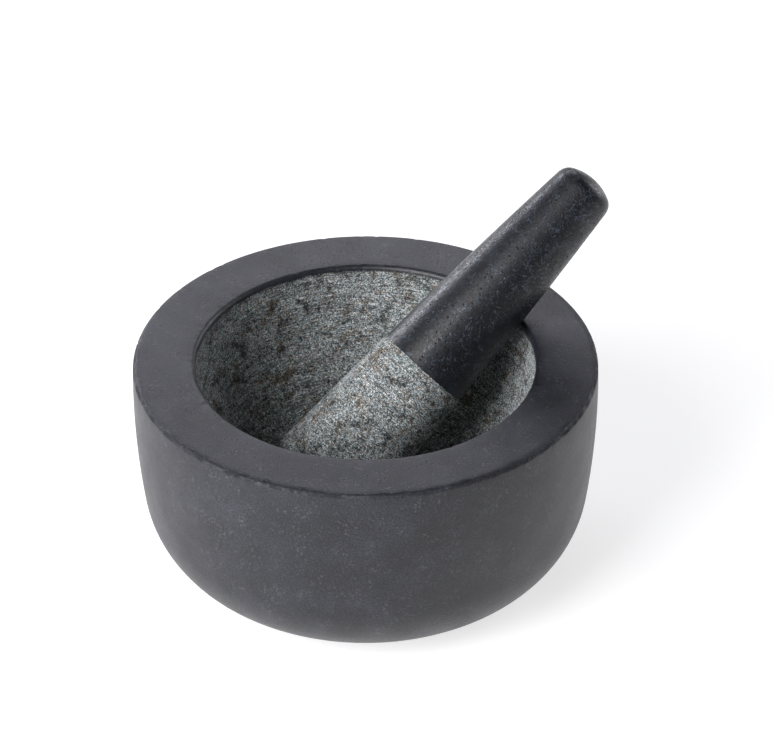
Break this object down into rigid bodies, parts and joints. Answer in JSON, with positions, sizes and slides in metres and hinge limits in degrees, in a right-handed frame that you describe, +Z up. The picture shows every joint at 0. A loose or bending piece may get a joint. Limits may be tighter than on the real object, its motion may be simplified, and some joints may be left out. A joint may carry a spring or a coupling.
{
  "type": "mortar and pestle",
  "caption": "Wide granite mortar with a thick flat rim and a round bowl, and a tapered granite pestle leaning in it, for grinding spices by hand.",
  "frame": {"origin": "centre of the mortar's flat foot, on the surface it stands on", "axes": "+Z up along the mortar's own axis; the pestle leans towards +X, in the plane y = 0"},
  "size_m": [0.1962, 0.1806, 0.1474],
  "materials": {
    "mortar_granite": "satin",
    "pestle_granite": "satin"
  },
  "bodies": {
    "mortar": {"mortar": "mortar_granite"},
    "pestle": {"pestle": "pestle_granite"}
  },
  "joints": [
    {"name": "pestle_lift", "type": "slide", "parent": "mortar", "child": "pestle", "axis": [0, 0, 1], "range_m": [0, 0.08]}
  ]
}
